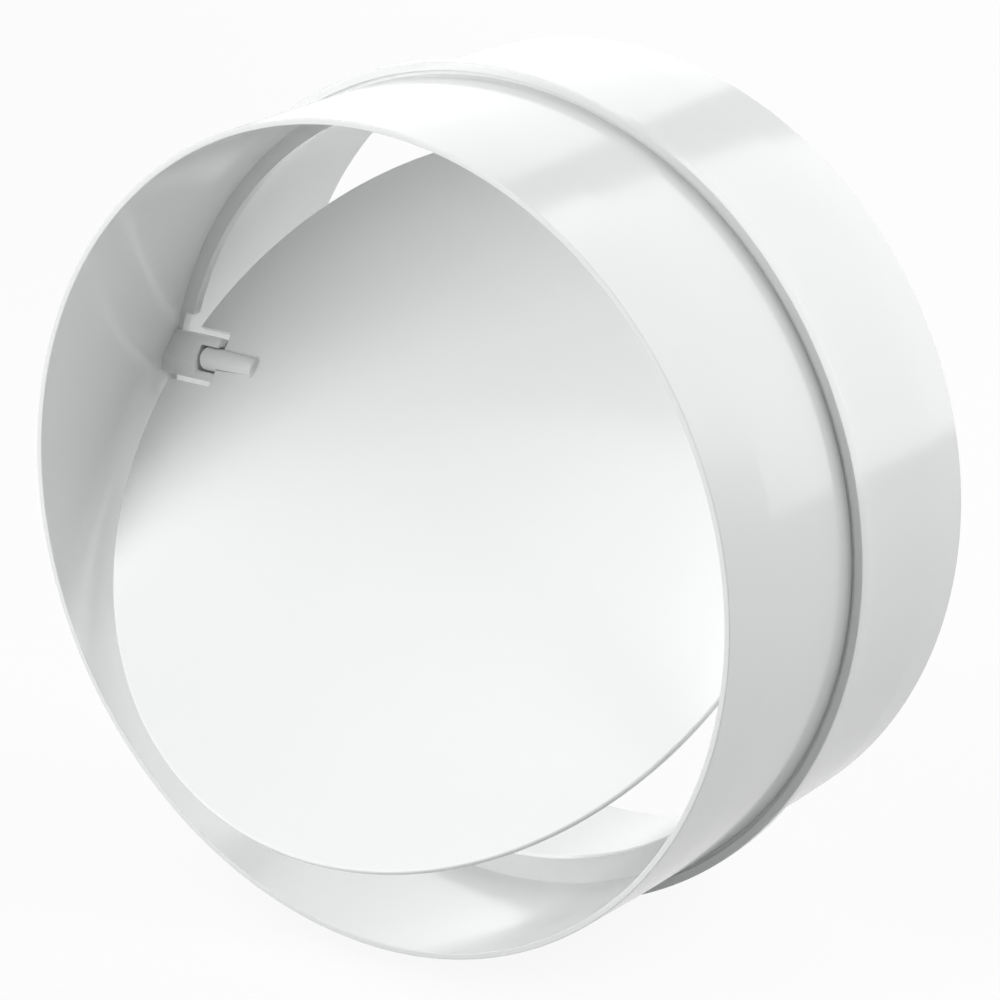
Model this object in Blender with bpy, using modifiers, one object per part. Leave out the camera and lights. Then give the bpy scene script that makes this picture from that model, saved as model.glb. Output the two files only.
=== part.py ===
"""Backdraft damper for a round 150 mm duct, with the duct axis level.

+Y runs along the duct from the front mouth to the rear mouth, and +Z is up. The origin is on the
duct axis, in the middle of the outer rib. The flap is shown part open, its foot towards the front.
"""

import math

import bmesh
import bpy
from mathutils import Matrix

MM = 0.001

# Fits between pieces that touch, and between pieces that move past each other
SEAT_GAP = 0.3 * MM
RUNNING_GAP = 0.3 * MM

# Housing tube, measured outside
SPIGOT_RADIUS = 74.7 * MM
FRONT_SPIGOT = 36.6 * MM
REAR_SPIGOT = 34.8 * MM
FRONT_LEAD_IN = 14.0 * MM
REAR_LEAD_IN = 8.6 * MM
LEAD_IN_DROP = 0.2 * MM
RIB_WIDTH = 2.2 * MM
RIB_HEIGHT = 2.3 * MM
RIB_CHAMFER = 0.15 * MM

# Housing wall: thickest at the seat, thinner at the mouths because of the moulding draft
WALL = 1.6 * MM
RIM_WALL = 1.1 * MM
RIM_CHAMFER = 0.2 * MM
SEAT_LAND_MARGIN = 0.6 * MM

# Flap and its pivot
FLAP_EDGE_GAP = 3.1 * MM
FLAP_THICKNESS = 1.3 * MM
FLAP_EDGE_ROUND = 0.3 * MM
PIVOT_RISE = 13.4 * MM
PIVOT_AHEAD = 2.9 * MM
FLAP_DROP = 0.5 * MM
REST_OPENING = math.radians(38.9)

# Seat ring
SEAT_THICKNESS = 2.0 * MM
SEAT_HOOP = 0.8 * MM
SEAT_OVERLAP = 1.5 * MM
SEAT_CUT_ABOVE = 7.4 * MM
SEAT_CUT_BELOW = 8.8 * MM

# Snap bearings
BEARING_RADIUS = 4.2 * MM
BEARING_LENGTH = 11.8 * MM
BEARING_FRONT = 2.4 * MM
SNAP_MOUTH = 4.2 * MM
SNAP_FLARE = 0.6 * MM
END_PLAY = 0.5 * MM

# Trunnions, and the notches that clear the bearings
TRUNNION_RADIUS = 2.2 * MM
TRUNNION_LENGTH = 4.0 * MM
TRUNNION_CHAMFER = 0.5 * MM
PIN_ROOT_LENGTH = 8.4 * MM
PIN_ROOT_RADIUS = 1.7 * MM
NOTCH_GAP = 1.3 * MM

# Facets round a full turn, and the steepest fold that is still shaded smooth
TURN_FACETS = 96
PIN_FACETS = 24
SMOOTH_FOLD = math.radians(25)

# Places that follow from the sizes above
FRONT_Y = -RIB_WIDTH / 2 - FRONT_SPIGOT
REAR_Y = RIB_WIDTH / 2 + REAR_SPIGOT
RIM_RADIUS = SPIGOT_RADIUS - LEAD_IN_DROP
MOUTH_RADIUS = RIM_RADIUS - RIM_WALL
BORE_RADIUS = SPIGOT_RADIUS - WALL
RIB_RADIUS = SPIGOT_RADIUS + RIB_HEIGHT
PIVOT_Y = -PIVOT_AHEAD
SEAT_FRONT_Y = PIVOT_Y + FLAP_THICKNESS / 2 + SEAT_GAP
SEAT_REAR_Y = SEAT_FRONT_Y + SEAT_THICKNESS
SEAT_RADIUS = BORE_RADIUS - SEAT_GAP
HOOP_RADIUS = SEAT_RADIUS - SEAT_HOOP
FLAP_RADIUS = BORE_RADIUS - FLAP_EDGE_GAP
NOTCH_HALF = BEARING_RADIUS + NOTCH_GAP
BEARING_FACE_X = math.sqrt(BORE_RADIUS**2 - PIVOT_RISE**2) - BEARING_LENGTH
NOTCH_X = BEARING_FACE_X - RUNNING_GAP
TRUNNION_TIP_X = NOTCH_X + TRUNNION_LENGTH
POCKET_RADIUS = TRUNNION_RADIUS + RUNNING_GAP
POCKET_END_X = TRUNNION_TIP_X + END_PLAY
CUT_MARGIN = 5 * MM


def clear_scene():
    """Empties the file of its objects."""
    for obj in list(bpy.data.objects):
        bpy.data.objects.remove(obj, do_unlink=True)


def new_collection(name):
    """A collection of the scene."""
    collection = bpy.data.collections.new(name)
    bpy.context.scene.collection.children.link(collection)
    return collection


def white_plastic(name, colour, roughness):
    """Moulded white plastic of one tint."""
    material = bpy.data.materials.new(name)
    material.use_nodes = True
    shader = material.node_tree.nodes["Principled BSDF"]
    shader.inputs["Base Color"].default_value = (*colour, 1)
    shader.inputs["Roughness"].default_value = roughness
    shader.inputs["Metallic"].default_value = 0.0
    return material


def add_mesh(name, mesh, collection, parent=None):
    """An object for a mesh, in a collection, carried by its parent where it has one."""
    obj = bpy.data.objects.new(name, mesh)
    collection.objects.link(obj)
    obj.parent = parent
    return obj


def add_bmesh(name, form, collection, parent=None):
    """An object for a bmesh, which is used up."""
    mesh = bpy.data.meshes.new(name)
    form.to_mesh(mesh)
    form.free()
    return add_mesh(name, mesh, collection, parent)


def as_cutter(obj):
    """A shape that only cuts or joins others: a wire in the view, and not rendered."""
    obj.display_type = "WIRE"
    obj.hide_render = True
    return obj


def boolean(obj, operation, other):
    """Cuts, joins or trims the object with another."""
    modifier = obj.modifiers.new(f"{operation} {other.name}", "BOOLEAN")
    modifier.operation = operation
    modifier.solver = "EXACT"
    modifier.object = other


def turned(name, outline, collection, closed=True, facets=TURN_FACETS, parent=None):
    """A turned shape with its axis along the object's Z, from (radius, height) points.

    The points run from the top down the outer side. A closed outline goes back up the inner side,
    and an open one starts and ends on the axis.
    """
    points = [(radius, 0, height) for radius, height in outline]
    edges = [(i, i + 1) for i in range(len(points) - 1)]
    if closed:
        edges.append((len(points) - 1, 0))
    mesh = bpy.data.meshes.new(name)
    mesh.from_pydata(points, edges, [])
    obj = add_mesh(name, mesh, collection, parent)
    screw = obj.modifiers.new("Turn", "SCREW")
    screw.axis = "Z"
    screw.steps = facets
    screw.render_steps = facets
    screw.use_merge_vertices = True
    screw.merge_threshold = 0.00001
    return obj


def along_duct(obj):
    """Lays a turned shape's axis along the duct, its top to the rear."""
    obj.rotation_euler = (-math.pi / 2, 0, 0)
    return obj


def drum(radius, front, rear, facets=TURN_FACETS):
    """A bmesh cylinder on the Y axis, from front to rear."""
    form = bmesh.new()
    place = Matrix.Translation((0, (front + rear) / 2, 0)) @ Matrix.Rotation(math.pi / 2, 4, "X")
    bmesh.ops.create_cone(
        form,
        cap_ends=True,
        segments=facets,
        radius1=radius,
        radius2=radius,
        depth=rear - front,
        matrix=place,
    )
    return form


def keep_side(form, point, outward):
    """Cuts a bmesh flat at a plane, keeps what lies behind its outward side and closes the cut."""
    geometry = form.verts[:] + form.edges[:] + form.faces[:]
    cut = bmesh.ops.bisect_plane(
        form, geom=geometry, plane_co=point, plane_no=outward, clear_outer=True
    )
    edges = [item for item in cut["geom_cut"] if isinstance(item, bmesh.types.BMEdge)]
    bmesh.ops.edgeloop_fill(form, edges=edges)
    bmesh.ops.recalc_face_normals(form, faces=form.faces[:])


def block(low, high):
    """A bmesh box between two corners."""
    form = bmesh.new()
    size = [b - a for a, b in zip(low, high)]
    middle = [(a + b) / 2 for a, b in zip(low, high)]
    bmesh.ops.create_cube(form, size=1, matrix=Matrix.LocRotScale(middle, None, size))
    return form


def settle(obj, material):
    """Makes the modifiers' result the object's own mesh, with smooth rounds and sharp corners."""
    bpy.context.view_layer.update()
    graph = bpy.context.evaluated_depsgraph_get()
    mesh = bpy.data.meshes.new_from_object(obj.evaluated_get(graph))
    obj.modifiers.clear()
    obj.data = mesh
    mesh.name = obj.name
    mesh.shade_smooth()
    mesh.set_sharp_from_angle(angle=SMOOTH_FOLD)
    mesh.materials.clear()
    mesh.materials.append(material)


def spigot_end(end, inward, lead_in):
    """Outer points of one spigot, from its rim to the foot of its taper. Inward is +1 or -1."""
    return [
        (RIM_RADIUS - RIM_CHAMFER, end),
        (RIM_RADIUS, end + inward * RIM_CHAMFER),
        (SPIGOT_RADIUS, end + inward * lead_in),
    ]


def make_housing(collection):
    """The tube: two tapered spigots, the outer rib and a wall that thins towards the mouths."""
    half_rib = RIB_WIDTH / 2
    rib = [
        (SPIGOT_RADIUS, half_rib),
        (RIB_RADIUS - RIB_CHAMFER, half_rib),
        (RIB_RADIUS, half_rib - RIB_CHAMFER),
        (RIB_RADIUS, -half_rib + RIB_CHAMFER),
        (RIB_RADIUS - RIB_CHAMFER, -half_rib),
        (SPIGOT_RADIUS, -half_rib),
    ]
    inside = [
        (MOUTH_RADIUS + RIM_CHAMFER, FRONT_Y),
        (MOUTH_RADIUS, FRONT_Y + RIM_CHAMFER),
        (BORE_RADIUS, SEAT_FRONT_Y - SEAT_LAND_MARGIN),
        (BORE_RADIUS, SEAT_REAR_Y + SEAT_LAND_MARGIN),
        (MOUTH_RADIUS, REAR_Y - RIM_CHAMFER),
        (MOUTH_RADIUS + RIM_CHAMFER, REAR_Y),
    ]
    outside = spigot_end(REAR_Y, -1, REAR_LEAD_IN) + rib
    outside += reversed(spigot_end(FRONT_Y, 1, FRONT_LEAD_IN))
    housing = along_duct(turned("housing", outside + inside, collection))
    settle(housing, white_plastic("housing plastic", (0.86, 0.87, 0.87), 0.28))
    return housing


def make_seat_ring(collection, cutters):
    """The ring that the flap closes on: a narrow lower lip, a wide upper part, a cut at each bearing."""
    lip_radius = FLAP_RADIUS - SEAT_OVERLAP
    outline = [
        (SEAT_RADIUS, SEAT_REAR_Y),
        (SEAT_RADIUS, SEAT_FRONT_Y),
        (lip_radius, SEAT_FRONT_Y),
        (lip_radius, SEAT_REAR_Y),
    ]
    ring = along_duct(turned("seat_ring", outline, collection))
    front = SEAT_FRONT_Y - CUT_MARGIN
    rear = SEAT_REAR_Y + CUT_MARGIN
    passage = drum(FLAP_RADIUS + RUNNING_GAP, front, rear)
    keep_side(passage, (0, 0, PIVOT_RISE), (0, 0, -1))
    boolean(ring, "DIFFERENCE", as_cutter(add_bmesh("flap_passage", passage, cutters)))
    gap = drum(HOOP_RADIUS, front, rear)
    keep_side(gap, (0, 0, PIVOT_RISE + SEAT_CUT_ABOVE), (0, 0, 1))
    keep_side(gap, (0, 0, PIVOT_RISE - SEAT_CUT_BELOW), (0, 0, -1))
    boolean(ring, "DIFFERENCE", as_cutter(add_bmesh("bearing_gap", gap, cutters)))
    settle(ring, white_plastic("seat plastic", (0.84, 0.85, 0.85), 0.32))
    return ring


def make_bore_plug(cutters):
    """The space that a bearing may fill: out to the wall, and to the hoop where it passes the ring."""
    step = SEAT_FRONT_Y - SEAT_GAP
    hoop = HOOP_RADIUS - SEAT_GAP
    rear = SEAT_REAR_Y + CUT_MARGIN
    outline = [
        (0, rear),
        (hoop, rear),
        (hoop, step),
        (SEAT_RADIUS, step),
        (SEAT_RADIUS, FRONT_Y),
        (0, FRONT_Y),
    ]
    return as_cutter(along_duct(turned("bore_plug", outline, cutters, closed=False)))


def make_bearing(name, side, collection, cutters, bore_plug):
    """A C-shaped snap bearing with a flat front. Side is -1 at the left wall and +1 at the right."""
    body = bmesh.new()
    length = SPIGOT_RADIUS - BEARING_FACE_X
    middle = side * (BEARING_FACE_X + length / 2)
    across = Matrix.Rotation(math.pi / 2, 4, "Y")
    bmesh.ops.create_cone(
        body,
        cap_ends=True,
        segments=2 * PIN_FACETS,
        radius1=BEARING_RADIUS,
        radius2=BEARING_RADIUS,
        depth=length,
        matrix=Matrix.Translation((middle, 0, 0)) @ across,
    )
    keep_side(body, (0, -BEARING_FRONT, 0), (0, -1, 0))
    bearing = add_bmesh(name, body, collection)
    bearing.location = (0, PIVOT_Y, PIVOT_RISE)
    boolean(bearing, "INTERSECT", bore_plug)

    pocket = bmesh.new()
    depth = POCKET_END_X - BEARING_FACE_X + CUT_MARGIN
    bmesh.ops.create_cone(
        pocket,
        cap_ends=True,
        segments=2 * PIN_FACETS,
        radius1=POCKET_RADIUS,
        radius2=POCKET_RADIUS,
        depth=depth,
        matrix=Matrix.Translation((side * (POCKET_END_X - depth / 2), 0, 0)) @ across,
    )
    boolean(bearing, "DIFFERENCE", as_cutter(add_bmesh(f"{name}_pocket", pocket, cutters, bearing)))

    ends = sorted((side * POCKET_END_X, side * (BEARING_FACE_X - CUT_MARGIN)))
    mouth = block(
        (ends[0], -BEARING_RADIUS - CUT_MARGIN, -SNAP_MOUTH / 2),
        (ends[1], 0, SNAP_MOUTH / 2),
    )
    boolean(bearing, "DIFFERENCE", as_cutter(add_bmesh(f"{name}_mouth", mouth, cutters, bearing)))

    flare = make_flare(ends, side)
    boolean(bearing, "DIFFERENCE", as_cutter(add_bmesh(f"{name}_flare", flare, cutters, bearing)))
    settle(bearing, white_plastic(f"{name} plastic", (0.85, 0.86, 0.86), 0.3))
    return bearing


def make_flare(ends, side):
    """The wedge that opens a snap mouth above, below and at its outer end, so that the trunnion goes in."""
    throat = SNAP_MOUTH / 2
    front = -BEARING_FRONT - CUT_MARGIN
    spread = SNAP_FLARE + CUT_MARGIN
    form = block((ends[0], front, -throat), (ends[1], -BEARING_FRONT + SNAP_FLARE, throat))
    for vert in form.verts:
        if vert.co.y < -BEARING_FRONT:
            vert.co.z += math.copysign(spread, vert.co.z)
            if side * vert.co.x > BEARING_FACE_X:
                vert.co.x += side * spread
    return form


def make_flap(collection, cutters):
    """The round flap. It is built shut, about its pivot, and then turned to its rest opening."""
    half = FLAP_THICKNESS / 2
    disc = drum(FLAP_RADIUS, -half, half)
    bmesh.ops.translate(disc, verts=disc.verts[:], vec=(0, 0, -FLAP_DROP - PIVOT_RISE))
    flap = add_bmesh("flap", disc, collection)
    flap.location = (0, PIVOT_Y, PIVOT_RISE)
    flap.rotation_euler = (-REST_OPENING, 0, 0)
    edge = flap.modifiers.new("Edge round", "BEVEL")
    edge.width = FLAP_EDGE_ROUND
    edge.segments = 2
    edge.limit_method = "ANGLE"
    edge.angle_limit = math.radians(60)
    for label, side in (("left", -1), ("right", 1)):
        boolean(flap, "DIFFERENCE", make_notch(label, side, cutters, flap))
    for label, side in (("left", -1), ("right", 1)):
        boolean(flap, "UNION", make_trunnion(label, side, cutters, flap))
    settle(flap, white_plastic("flap plastic", (0.88, 0.89, 0.89), 0.3))
    return flap


def make_notch(label, side, cutters, flap):
    """The notch in the flap's edge that goes round one bearing."""
    ends = sorted((side * NOTCH_X, side * (FLAP_RADIUS + CUT_MARGIN)))
    form = block((ends[0], -CUT_MARGIN, -NOTCH_HALF), (ends[1], CUT_MARGIN, NOTCH_HALF))
    return as_cutter(add_bmesh(f"notch_{label}", form, cutters, flap))


def make_trunnion(label, side, cutters, flap):
    """One trunnion with the tapered root that carries it on the flap's faces."""
    root = NOTCH_X - PIN_ROOT_LENGTH
    outline = [
        (0, TRUNNION_TIP_X),
        (TRUNNION_RADIUS - TRUNNION_CHAMFER, TRUNNION_TIP_X),
        (TRUNNION_RADIUS, TRUNNION_TIP_X - TRUNNION_CHAMFER),
        (TRUNNION_RADIUS, NOTCH_X),
        (PIN_ROOT_RADIUS, root + PIN_ROOT_RADIUS / 2),
        (PIN_ROOT_RADIUS / 2, root),
        (0, root),
    ]
    trunnion = turned(f"trunnion_{label}", outline, cutters, False, PIN_FACETS, flap)
    trunnion.rotation_euler = (0, side * math.pi / 2, 0)
    return as_cutter(trunnion)


def main():
    clear_scene()
    parts = new_collection("backdraft_damper")
    cutters = new_collection("cutters")
    make_housing(parts)
    make_seat_ring(parts, cutters)
    bore_plug = make_bore_plug(cutters)
    make_bearing("bearing_left", -1, parts, cutters, bore_plug)
    make_bearing("bearing_right", 1, parts, cutters, bore_plug)
    make_flap(parts, cutters)


main()
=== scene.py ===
"""The looks of a backdraft damper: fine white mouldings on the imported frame, studio light and camera.

Sizes are in metres, in the frame's own axes: +Y runs along the duct from the front mouth to the
rear mouth, +Z is up, and the origin is on the duct axis in the middle of the outer rib.
"""

import contextlib
import math

import bmesh
import bpy
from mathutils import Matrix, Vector


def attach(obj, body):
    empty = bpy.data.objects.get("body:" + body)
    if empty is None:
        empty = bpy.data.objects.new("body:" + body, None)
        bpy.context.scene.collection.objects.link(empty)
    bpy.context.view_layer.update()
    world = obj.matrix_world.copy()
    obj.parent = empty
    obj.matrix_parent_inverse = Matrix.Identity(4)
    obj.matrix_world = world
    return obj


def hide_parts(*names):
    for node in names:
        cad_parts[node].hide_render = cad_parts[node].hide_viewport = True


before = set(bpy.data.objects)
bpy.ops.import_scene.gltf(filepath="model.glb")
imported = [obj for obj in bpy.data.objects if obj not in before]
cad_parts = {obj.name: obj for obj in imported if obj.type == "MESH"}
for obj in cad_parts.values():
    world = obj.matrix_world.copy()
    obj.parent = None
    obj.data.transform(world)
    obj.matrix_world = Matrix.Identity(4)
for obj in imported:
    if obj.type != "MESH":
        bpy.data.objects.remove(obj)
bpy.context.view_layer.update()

MM = 0.001

# Tube
SPIGOT_RADIUS = 74.7 * MM
RIM_RADIUS = 74.5 * MM
MOUTH_RADIUS = 73.4 * MM
BORE_RADIUS = 73.1 * MM
RIB_RADIUS = 77.0 * MM
FRONT_Y = -37.7 * MM
REAR_Y = 35.9 * MM
RIB_HALF = 1.1 * MM
FRONT_LEAD_IN = 14.0 * MM
REAR_LEAD_IN = 8.6 * MM
FOLD_WIDTH = 0.5 * MM
LAND_FRONT_Y = -2.55 * MM
LAND_REAR_Y = 0.65 * MM
TUBE_EDGE = 0.2 * MM
GROOVE_WIDTH = 0.7 * MM
GROOVE_DEPTH = 0.75 * MM

# Seat ring
SEAT_FRONT_Y = -1.95 * MM
SEAT_REAR_Y = 0.05 * MM
LIP_RADIUS = 68.5 * MM
PASSAGE_RADIUS = 70.3 * MM
HOOP_RADIUS = 72.0 * MM
CUT_ABOVE = 7.4 * MM
CUT_BELOW = 8.8 * MM
SEAT_EDGE = 0.12 * MM
INTO_WALL = 0.4 * MM

# Pivot and bearings
PIVOT_Y = -2.9 * MM
PIVOT_Z = 13.4 * MM
BEARING_RADIUS = 4.2 * MM
BEARING_FRONT = 2.4 * MM
BEARING_FACE_X = 60.06 * MM
POCKET_RADIUS = 2.5 * MM
POCKET_END_X = 64.26 * MM
MOUTH_HALF = 2.1 * MM
FLARE = 0.6 * MM
LEAN = math.radians(30)
LEAN_FOOT = -0.6 * MM
BEARING_GRID = 0.16 * MM
SMOOTHING_TIMES = 8
SMOOTHING_FACTOR = 0.5

# Flap
FLAP_RADIUS = 70.0 * MM
FLAP_DROP = 0.5 * MM
FLAP_HALF = 0.65 * MM
FLAP_EDGE = 0.5 * MM
REST_OPENING = math.radians(38.9)
NOTCH_X = 59.76 * MM
NOTCH_HALF = 5.5 * MM
TRUNNION_RADIUS = 2.2 * MM
TRUNNION_TIP_X = 63.76 * MM
TRUNNION_ROUND = 1.0 * MM
ROOT_RADIUS = 2.0 * MM
ROOT_LENGTH = 8.4 * MM
ROOT_ROUND = 0.6 * MM
ROOT_FILLET = 0.35 * MM

# Facets round a full turn, steps across a round, and how far a cutter runs past what it cuts
TURN_FACETS = 256
PIN_FACETS = 64
ROUND_STEPS = 4
CUT_PAST = 6 * MM

# Lengths that count as the same, and points that are merged
SAME_LENGTH = 0.01 * MM
MERGE_DISTANCE = 0.001 * MM

# Plastic: scales of its noises, its darker tint, how far its roughness changes, and its relief
CLOUD_SCALE = 18.0
WAVE_SCALE = 42.0
GRAIN_SCALE = 2600.0
SMUDGE_SCALE = 60.0
DARKER_TINT = 0.975
SMUDGE_ROUGHNESS = 0.06
GRAIN_ROUGHNESS = 0.02
WAVE_HEIGHT = 0.04 * MM
GRAIN_HEIGHT = 0.0006 * MM

# Camera, as the photograph was taken
VIEW_AZIMUTH = math.radians(36.113)
VIEW_ELEVATION = math.radians(19.37)
EYE_RIGHT = 23.3 * MM
EYE_UP = 8.2 * MM
EYE_BACK = 718.1 * MM
LENS = 151.6
SENSOR_WIDTH = 36
CLIP_START = 50 * MM

# Floor and backdrop
FLOOR_Z = -77.4 * MM
FLOOR_SIZE = 12.0
FLOOR_BOUNCE = (0.45, 0.45, 0.45, 1)
FLOOR_LIFT = 0.9
WHITE = (1.0, 1.0, 1.0, 1)

# Lamps: name, azimuth from +X towards +Y, elevation, distance, size and strength
LAMPS = (
    ("key_low", 242, 11, 0.92, (0.8, 0.49), 4.5),
    ("key_middle", 240, 38, 0.95, (0.44, 0.35), 2.4),
    ("key_top", 240, 62, 0.95, (0.55, 0.42), 2.5),
    ("front_low", 268, 11, 0.92, (0.42, 0.49), 0.5),
    ("rear_right", 66, 22, 0.85, (0.6, 0.84), 1.9),
    ("side_right", 28, 30, 0.85, (0.5, 0.66), 2.3),
    ("side_front", 348, 28, 0.85, (0.25, 0.66), 2.6),
    ("rear_high", 66, 57, 0.85, (0.6, 0.36), 0.9),
    ("rear_left", 122, 22, 0.85, (0.45, 0.7), 1.3),
)


# Selecting and shaping by hand


def take(piece):
    """Selects one object alone and makes it the active one."""
    bpy.ops.object.select_all(action="DESELECT")
    piece.select_set(True)
    bpy.context.view_layer.objects.active = piece


@contextlib.contextmanager
def editing(piece):
    """Edit mode on one object."""
    take(piece)
    bpy.ops.object.mode_set(mode="EDIT")
    yield
    bpy.ops.object.mode_set(mode="OBJECT")


def middle_of(item):
    """The place of a point, or the middle of an edge or face."""
    if isinstance(item, bmesh.types.BMVert):
        return item.co
    points = [vert.co for vert in item.verts]
    return sum(points, Vector()) / len(points)


def select(piece, kind, test):
    """In edit mode, selects the points, edges or faces whose middle passes the test, and no others."""
    bpy.ops.mesh.select_mode(type=kind)
    bpy.ops.mesh.select_all(action="DESELECT")
    form = bmesh.from_edit_mesh(piece.data)
    items = {"VERT": form.verts, "EDGE": form.edges, "FACE": form.faces}[kind]
    for item in items:
        if test(middle_of(item)):
            item.select_set(True)
    bmesh.update_edit_mesh(piece.data)


def near(value, wanted):
    """Whether two lengths agree to a hundredth of a millimetre."""
    return abs(value - wanted) < SAME_LENGTH


def keep_side(piece, point, outward):
    """Cuts a solid flat at a plane, keeps what lies behind its outward side and closes the cut."""
    with editing(piece):
        bpy.ops.mesh.select_all(action="SELECT")
        bpy.ops.mesh.bisect(plane_co=point, plane_no=outward, use_fill=True, clear_outer=True)


def add_drum(name, radius, front, rear):
    """A cylinder on the duct axis, with its place in its mesh."""
    bpy.ops.object.select_all(action="DESELECT")
    bpy.ops.mesh.primitive_cylinder_add(
        vertices=TURN_FACETS,
        radius=radius,
        depth=rear - front,
        location=(0, (front + rear) / 2, 0),
        rotation=(math.pi / 2, 0, 0),
    )
    return named(name)


def add_hoop(name, section):
    """A closed hoop round the duct axis: a circle that is extruded from point to point of its section."""
    radius, y = section[0]
    bpy.ops.object.select_all(action="DESELECT")
    bpy.ops.mesh.primitive_circle_add(
        vertices=TURN_FACETS, radius=radius, location=(0, y, 0), rotation=(math.pi / 2, 0, 0)
    )
    hoop = named(name)
    with editing(hoop):
        bpy.ops.mesh.select_mode(type="EDGE")
        bpy.ops.mesh.select_all(action="SELECT")
        for next_radius, next_y in section[1:] + section[:1]:
            factor = next_radius / radius
            bpy.ops.mesh.extrude_region()
            bpy.ops.transform.translate(value=(0, next_y - y, 0))
            bpy.ops.transform.resize(value=(factor, 1, factor), center_override=(0, next_y, 0))
            radius, y = next_radius, next_y
    tidy_mesh(hoop)
    return hoop


def add_pin(name, radius, left, right):
    """A cylinder along X through the origin, with its place in its mesh."""
    bpy.ops.object.select_all(action="DESELECT")
    bpy.ops.mesh.primitive_cylinder_add(
        vertices=PIN_FACETS,
        radius=radius,
        depth=abs(right - left),
        location=((left + right) / 2, 0, 0),
        rotation=(0, math.pi / 2, 0),
    )
    return named(name)


def add_block(name, low, high):
    """A box between two corners, with its place in its mesh."""
    bpy.ops.object.select_all(action="DESELECT")
    bpy.ops.mesh.primitive_cube_add(
        size=1,
        location=[(a + b) / 2 for a, b in zip(low, high)],
        scale=[b - a for a, b in zip(low, high)],
    )
    return named(name)


def named(name):
    """Names the new object and puts its place, turn and size in its mesh."""
    piece = bpy.context.active_object
    piece.name = name
    piece.data.name = name
    bpy.ops.object.transform_apply(location=True, rotation=True, scale=True)
    return piece


def combine(piece, operation, tool):
    """Cuts, joins or trims a piece with a tool shape, which is then deleted."""
    modifier = piece.modifiers.new(operation, "BOOLEAN")
    modifier.operation = operation
    modifier.solver = "EXACT"
    modifier.object = tool
    take(piece)
    bpy.ops.object.modifier_apply(modifier=modifier.name)
    bpy.data.objects.remove(tool, do_unlink=True)


def round_edges(piece, width, fold=40, segments=3):
    """Rounds every edge that folds more steeply than the angle, in degrees."""
    modifier = piece.modifiers.new("Edges", "BEVEL")
    modifier.width = width
    modifier.segments = segments
    modifier.limit_method = "ANGLE"
    modifier.angle_limit = math.radians(fold)
    take(piece)
    bpy.ops.object.modifier_apply(modifier=modifier.name)


def soften(piece, grid, times):
    """Rounds a small moulding all over: an even fine mesh that is smoothed a number of times."""
    fine = piece.modifiers.new("Fine mesh", "REMESH")
    fine.mode = "VOXEL"
    fine.voxel_size = grid
    smooth = piece.modifiers.new("Soft edges", "SMOOTH")
    smooth.factor = SMOOTHING_FACTOR
    smooth.iterations = times
    take(piece)
    for modifier in (fine, smooth):
        bpy.ops.object.modifier_apply(modifier=modifier.name)
    bpy.ops.object.shade_smooth()


def shade(piece, fold=35):
    """Smooth shading that keeps flat faces flat beside their small rounds."""
    take(piece)
    bpy.ops.object.shade_smooth_by_angle(angle=math.radians(fold))
    modifier = piece.modifiers.new("Normals", "WEIGHTED_NORMAL")
    modifier.keep_sharp = True
    bpy.ops.object.modifier_apply(modifier=modifier.name)


def tidy_mesh(piece):
    """Merges doubled points and turns every face outwards."""
    with editing(piece):
        bpy.ops.mesh.select_all(action="SELECT")
        bpy.ops.mesh.remove_doubles(threshold=MERGE_DISTANCE)
        bpy.ops.mesh.normals_make_consistent(inside=False)


# Pieces


def make_tube():
    """The tube: two spigots with their lead-ins, the rib with a fine groove at its front foot, and an
    inner wall that widens to the mouths."""
    outside = (
        (RIM_RADIUS, FRONT_Y),
        (SPIGOT_RADIUS, FRONT_Y + FRONT_LEAD_IN),
        (SPIGOT_RADIUS, FRONT_Y + FRONT_LEAD_IN + FOLD_WIDTH),
        (SPIGOT_RADIUS, GROOVE_DEPTH - RIB_HALF),
        (SPIGOT_RADIUS + GROOVE_WIDTH, GROOVE_DEPTH - RIB_HALF),
        (SPIGOT_RADIUS + GROOVE_WIDTH, -RIB_HALF),
        (RIB_RADIUS, -RIB_HALF),
        (RIB_RADIUS, RIB_HALF),
        (SPIGOT_RADIUS, RIB_HALF),
        (SPIGOT_RADIUS, REAR_Y - REAR_LEAD_IN - FOLD_WIDTH),
        (SPIGOT_RADIUS, REAR_Y - REAR_LEAD_IN),
        (RIM_RADIUS, REAR_Y),
    )
    inside = (
        (MOUTH_RADIUS, REAR_Y),
        (BORE_RADIUS, LAND_REAR_Y),
        (BORE_RADIUS, LAND_FRONT_Y),
        (MOUTH_RADIUS, FRONT_Y),
    )
    tube = add_hoop("housing_tube", outside + inside)
    round_edges(tube, TUBE_EDGE)
    shade(tube)
    return tube


def make_seat():
    """The ring that the flap closes on: narrow lower lip, wide upper part, cut back at each bearing."""
    outer = BORE_RADIUS + INTO_WALL
    section = (
        (outer, SEAT_FRONT_Y),
        (outer, SEAT_REAR_Y),
        (LIP_RADIUS, SEAT_REAR_Y),
        (LIP_RADIUS, SEAT_FRONT_Y),
    )
    ring = add_hoop("seat_ring_moulding", section)
    front = SEAT_FRONT_Y - CUT_PAST
    rear = SEAT_REAR_Y + CUT_PAST
    passage = add_drum("flap_passage", PASSAGE_RADIUS, front, rear)
    keep_side(passage, (0, 0, PIVOT_Z), (0, 0, -1))
    combine(ring, "DIFFERENCE", passage)
    gap = add_drum("bearing_gap", HOOP_RADIUS, front, rear)
    keep_side(gap, (0, 0, PIVOT_Z + CUT_ABOVE), (0, 0, 1))
    keep_side(gap, (0, 0, PIVOT_Z - CUT_BELOW), (0, 0, -1))
    combine(ring, "DIFFERENCE", gap)
    tidy_mesh(ring)
    round_edges(ring, SEAT_EDGE)
    shade(ring)
    return ring


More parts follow.
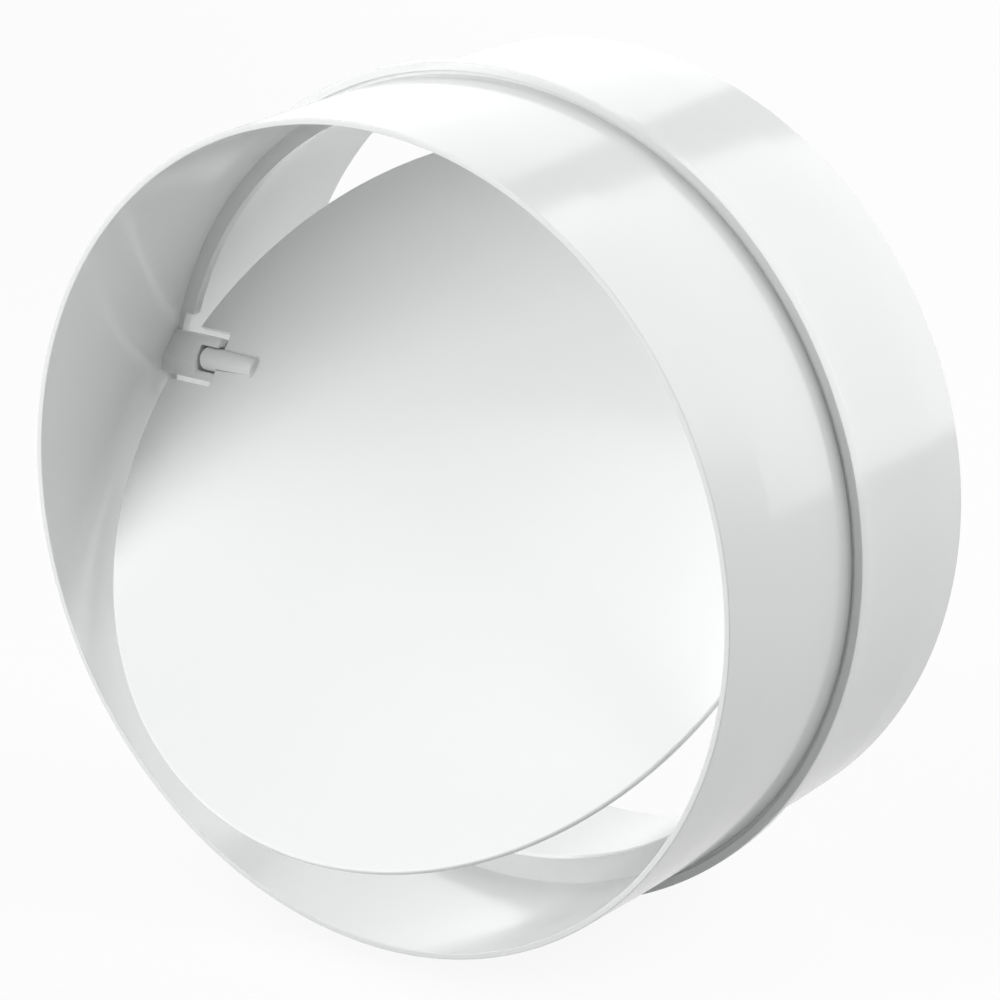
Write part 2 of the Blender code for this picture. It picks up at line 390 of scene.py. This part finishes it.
def make_bearing(name, side):
    """A C-shaped snap bearing that grows out of the wall, with a leaning upper front and soft edges.

    Side is -1 at the left and +1 at the right.
    """
    bearing = add_pin(name, BEARING_RADIUS, side * BEARING_FACE_X, side * SPIGOT_RADIUS)
    keep_side(bearing, (0, -BEARING_FRONT, 0), (0, -1, 0))
    keep_side(bearing, (0, -BEARING_FRONT, LEAN_FOOT), (0, -math.cos(LEAN), math.sin(LEAN)))
    pocket_start = side * (BEARING_FACE_X - CUT_PAST)
    pocket_end = side * POCKET_END_X
    combine(bearing, "DIFFERENCE", add_pin("pocket", POCKET_RADIUS, pocket_start, pocket_end))
    left, right = sorted((pocket_start, pocket_end))
    mouth = add_block("mouth", (left, -2 * BEARING_RADIUS, -MOUTH_HALF), (right, 0, MOUTH_HALF))
    combine(bearing, "DIFFERENCE", mouth)
    combine(bearing, "DIFFERENCE", make_flare(left, right, side))
    shift(bearing, (0, PIVOT_Y, PIVOT_Z))
    combine(bearing, "INTERSECT", add_drum("bore", BORE_RADIUS + INTO_WALL, FRONT_Y, REAR_Y))
    tidy_mesh(bearing)
    soften(bearing, BEARING_GRID, SMOOTHING_TIMES)
    return bearing


def make_flare(left, right, side):
    """The wedge that opens a snap mouth above, below and at its outer end."""
    front = -BEARING_FRONT - CUT_PAST
    spread = FLARE + CUT_PAST
    rear = FLARE - BEARING_FRONT
    flare = add_block("flare", (left, front, -MOUTH_HALF), (right, rear, MOUTH_HALF))
    with editing(flare):
        select(flare, "VERT", lambda point: near(point.y, front))
        factor = (MOUTH_HALF + spread) / MOUTH_HALF
        bpy.ops.transform.resize(value=(1, 1, factor), center_override=(0, front, 0))
        select(
            flare,
            "VERT",
            lambda point: near(point.y, front) and side * point.x > BEARING_FACE_X,
        )
        bpy.ops.transform.translate(value=(side * spread, 0, 0))
    return flare


def make_flap():
    """The round flap with its notches and trunnions, built shut about its pivot and then turned."""
    flap = add_drum("flap_moulding", FLAP_RADIUS, -FLAP_HALF, FLAP_HALF)
    shift(flap, (0, 0, -FLAP_DROP - PIVOT_Z))
    round_edges(flap, FLAP_EDGE, segments=ROUND_STEPS)
    for side in (-1, 1):
        combine(flap, "DIFFERENCE", make_notch(side))
    for side in (-1, 1):
        combine(flap, "UNION", make_trunnion(side))
    tidy_mesh(flap)
    with editing(flap):
        select(flap, "EDGE", at_root)
        bpy.ops.mesh.bevel(offset=ROOT_FILLET, segments=ROUND_STEPS, affect="EDGES")
    tidy_mesh(flap)
    flap.rotation_euler = (-REST_OPENING, 0, 0)
    shift(flap, (0, PIVOT_Y, PIVOT_Z))
    shade(flap)
    return flap


def at_root(point):
    """Whether a point of the shut flap lies where a pin root meets a face of the disc."""
    along = NOTCH_X - ROOT_LENGTH - SAME_LENGTH < abs(point.x) < NOTCH_X - SAME_LENGTH
    return along and near(abs(point.y), FLAP_HALF) and abs(point.z) < TRUNNION_RADIUS


def shift(piece, place):
    """Moves a piece, with its place and turn put in its mesh."""
    piece.location = place
    take(piece)
    bpy.ops.object.transform_apply(location=True, rotation=True, scale=True)


def make_notch(side):
    """The block that clears one bearing out of the flap's edge."""
    left, right = sorted((side * NOTCH_X, side * (FLAP_RADIUS + CUT_PAST)))
    return add_block("notch", (left, -CUT_PAST, -NOTCH_HALF), (right, CUT_PAST, NOTCH_HALF))


def make_trunnion(side):
    """One trunnion, with the slimmer root that carries it across the flap's face."""
    root_x = NOTCH_X - ROOT_LENGTH
    pin = add_pin("trunnion", TRUNNION_RADIUS, side * root_x, side * TRUNNION_TIP_X)
    with editing(pin):
        bpy.ops.mesh.select_all(action="SELECT")
        bpy.ops.mesh.bisect(plane_co=(side * NOTCH_X, 0, 0), plane_no=(1, 0, 0))
        select(pin, "VERT", lambda point: near(point.x, side * root_x))
        slim = ROOT_RADIUS / TRUNNION_RADIUS
        bpy.ops.transform.resize(value=(1, slim, slim), center_override=(side * root_x, 0, 0))
        for end_x, width in ((root_x, ROOT_ROUND), (TRUNNION_TIP_X, TRUNNION_ROUND)):
            select(pin, "EDGE", lambda point: near(point.x, side * end_x))
            bpy.ops.mesh.bevel(offset=width, segments=ROUND_STEPS, affect="EDGES")
    return pin


# Finishes


class Wire:
    """A node's output. Python's operators on it add Math nodes."""

    def __init__(self, finish, socket):
        self.finish = finish
        self.socket = socket

    def __add__(self, other):
        return self.finish.maths("ADD", self, other)

    def __sub__(self, other):
        return self.finish.maths("SUBTRACT", self, other)

    def __mul__(self, other):
        return self.finish.maths("MULTIPLY", self, other)

    def __rsub__(self, other):
        return self.finish.maths("SUBTRACT", other, self)

    __radd__ = __add__
    __rmul__ = __mul__


class Finish:
    """The nodes of a material or of the world."""

    def __init__(self, owner):
        owner.use_nodes = True
        self.material = owner
        self.tree = owner.node_tree

    def node(self, kind, settings=None, inputs=None, output=0):
        """Adds a node, its settings first and then its inputs, and gives one of its outputs."""
        node = self.tree.nodes.new(kind)
        for name, value in (settings or {}).items():
            setattr(node, name, value)
        for name, value in (inputs or {}).items():
            self.feed(node.inputs[name], value)
        return Wire(self, node.outputs[output])

    def feed(self, socket, value):
        """Links a wire to a socket, or sets the socket to a value."""
        if isinstance(value, Wire):
            self.tree.links.new(value.socket, socket)
        else:
            socket.default_value = value

    def maths(self, operation, first, second):
        return self.node("ShaderNodeMath", {"operation": operation}, {0: first, 1: second})

    def noise(self, place, scale, detail=2.0, roughness=0.5):
        """Soft random variation round 0.5."""
        return self.node(
            "ShaderNodeTexNoise",
            inputs={"Vector": place, "Scale": scale, "Detail": detail, "Roughness": roughness},
        )


def white_plastic(name, colour, roughness, flow, seed):
    """Glossy moulded plastic: faint tint and gloss changes, soft moulding waves and a very fine grain.

    Flow stretches the waves along one axis, as the plastic filled the mould.
    """
    finish = Finish(bpy.data.materials.new(name))
    shader = finish.tree.nodes["Principled BSDF"]
    place = finish.node("ShaderNodeTexCoord", output="Object")
    along = finish.node(
        "ShaderNodeMapping", inputs={"Vector": place, "Location": (seed, seed, seed), "Scale": flow}
    )
    clouds = finish.noise(along, CLOUD_SCALE, detail=3.0)
    waves = finish.noise(along, WAVE_SCALE, detail=1.0)
    grain = finish.noise(place, GRAIN_SCALE, detail=1.0)
    smudge = finish.noise(place, SMUDGE_SCALE, detail=4.0, roughness=0.62)

    darker = tuple(channel * DARKER_TINT for channel in colour)
    tint = finish.node(
        "ShaderNodeMix",
        {"data_type": "RGBA"},
        {"Factor": clouds, "A": (*darker, 1), "B": (*colour, 1)},
        output="Result",
    )
    finish.feed(shader.inputs["Base Color"], tint)
    uneven = (smudge - 0.5) * SMUDGE_ROUGHNESS
    fine = (grain - 0.5) * GRAIN_ROUGHNESS
    finish.feed(shader.inputs["Roughness"], roughness + uneven + fine)
    height = waves * WAVE_HEIGHT + grain * GRAIN_HEIGHT
    bump = finish.node("ShaderNodeBump", inputs={"Height": height, "Distance": 1.0, "Strength": 1.0})
    finish.feed(shader.inputs["Normal"], bump)
    return finish.material


def paint(piece, material):
    """Gives a piece one material."""
    piece.data.materials.clear()
    piece.data.materials.append(material)


# Setting


def view_axes():
    """The camera's right, up and backward directions."""
    sin_az, cos_az = math.sin(VIEW_AZIMUTH), math.cos(VIEW_AZIMUTH)
    sin_el, cos_el = math.sin(VIEW_ELEVATION), math.cos(VIEW_ELEVATION)
    right = Vector((cos_az, sin_az, 0))
    up = Vector((-sin_az * sin_el, cos_az * sin_el, cos_el))
    back = Vector((sin_az * cos_el, -cos_az * cos_el, sin_el))
    return right, up, back


def make_camera():
    """A long lens at the photograph's place."""
    right, up, back = view_axes()
    camera = bpy.data.objects.new("camera", bpy.data.cameras.new("camera"))
    bpy.context.scene.collection.objects.link(camera)
    mouth = Vector((0, FRONT_Y, 0))
    camera.location = mouth + right * EYE_RIGHT + up * EYE_UP + back * EYE_BACK
    camera.rotation_euler = back.to_track_quat("Z", "Y").to_euler()
    camera.data.lens = LENS
    camera.data.sensor_width = SENSOR_WIDTH
    camera.data.clip_start = CLIP_START
    bpy.context.scene.camera = camera


def shown_rays(finish):
    """One for a ray from the camera, a reflection or a clear piece, and nought for a bounce of light."""
    path = finish.tree.nodes.new("ShaderNodeLightPath")
    camera, glossy, clear = (
        Wire(finish, path.outputs[name])
        for name in ("Is Camera Ray", "Is Glossy Ray", "Is Transmission Ray")
    )
    return finish.maths("MAXIMUM", camera, finish.maths("MAXIMUM", glossy, clear))


def make_floor():
    """A plain pale floor just under the rib, nearly white where it is seen, and keeping the shadow."""
    bpy.ops.object.select_all(action="DESELECT")
    bpy.ops.mesh.primitive_plane_add(size=FLOOR_SIZE, location=(0, 0, FLOOR_Z))
    floor = named("floor")
    finish = Finish(bpy.data.materials.new("pale floor"))
    bounce = finish.node("ShaderNodeBsdfDiffuse", inputs={"Color": FLOOR_BOUNCE})
    matt = finish.node("ShaderNodeBsdfDiffuse", inputs={"Color": WHITE})
    glow = finish.node("ShaderNodeEmission", inputs={"Color": WHITE, "Strength": 1.0})
    seen = finish.node("ShaderNodeMixShader", inputs={0: FLOOR_LIFT, 1: matt, 2: glow})
    surface = finish.node("ShaderNodeMixShader", inputs={0: shown_rays(finish), 1: bounce, 2: seen})
    output = finish.tree.nodes["Material Output"]
    finish.feed(output.inputs["Surface"], surface)
    paint(floor, finish.material)


def make_world():
    """White all round to the camera and in reflections. It lights nothing else."""
    world = bpy.data.worlds.new("studio")
    bpy.context.scene.world = world
    finish = Finish(world)
    dark = finish.node("ShaderNodeBackground", inputs={"Strength": 0.0})
    white = finish.node("ShaderNodeBackground", inputs={"Color": WHITE, "Strength": 1.0})
    surface = finish.node("ShaderNodeMixShader", inputs={0: shown_rays(finish), 1: dark, 2: white})
    finish.feed(finish.tree.nodes["World Output"].inputs["Surface"], surface)


def make_lamp(name, azimuth, elevation, distance, size, strength):
    """A soft rectangular lamp that faces the object. Strength 1 makes its face as bright as white."""
    turn = math.radians(azimuth)
    tilt = math.radians(elevation)
    level = math.cos(tilt)
    outward = Vector((math.cos(turn) * level, math.sin(turn) * level, math.sin(tilt)))
    lamp = bpy.data.objects.new(name, bpy.data.lights.new(name, "AREA"))
    bpy.context.scene.collection.objects.link(lamp)
    lamp.data.shape = "RECTANGLE"
    lamp.data.size, lamp.data.size_y = size
    lamp.data.energy = math.pi * size[0] * size[1] * strength
    lamp.location = outward * distance
    lamp.rotation_euler = outward.to_track_quat("Z", "Y").to_euler()
    lamp.visible_camera = False


def main():
    tube = make_tube()
    seat = make_seat()
    bearing_left = make_bearing("bearing_left_moulding", -1)
    bearing_right = make_bearing("bearing_right_moulding", 1)
    flap = make_flap()

    along_duct = (1.0, 0.35, 1.0)
    across_flap = (1.0, 1.0, 0.6)
    housing_white = white_plastic("glossy white tube plastic", (0.86, 0.87, 0.87), 0.15, along_duct, 1.0)
    seat_white = white_plastic("white seat plastic", (0.84, 0.85, 0.85), 0.18, along_duct, 4.0)
    bearing_white = white_plastic("white bearing plastic", (0.85, 0.86, 0.86), 0.16, along_duct, 7.0)
    flap_white = white_plastic("satin white flap plastic", (0.88, 0.89, 0.89), 0.18, across_flap, 9.0)

    rows = (
        (tube, "housing", "housing", "housing_plastic", housing_white),
        (seat, "housing", "seat_ring", "seat_plastic", seat_white),
        (bearing_left, "housing", "bearing_left", "bearing_plastic", bearing_white),
        (bearing_right, "housing", "bearing_right", "bearing_plastic", bearing_white),
        (flap, "flap", "flap", "flap_plastic", flap_white),
    )
    for piece, body, node, slot, material in rows:
        paint(piece, material)
        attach(piece, body)
        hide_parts(node)
        paint(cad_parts[node], material)

    make_camera()
    make_floor()
    make_world()
    for lamp in LAMPS:
        make_lamp(*lamp)

    bpy.context.scene.view_settings.view_transform = "Standard"


main()
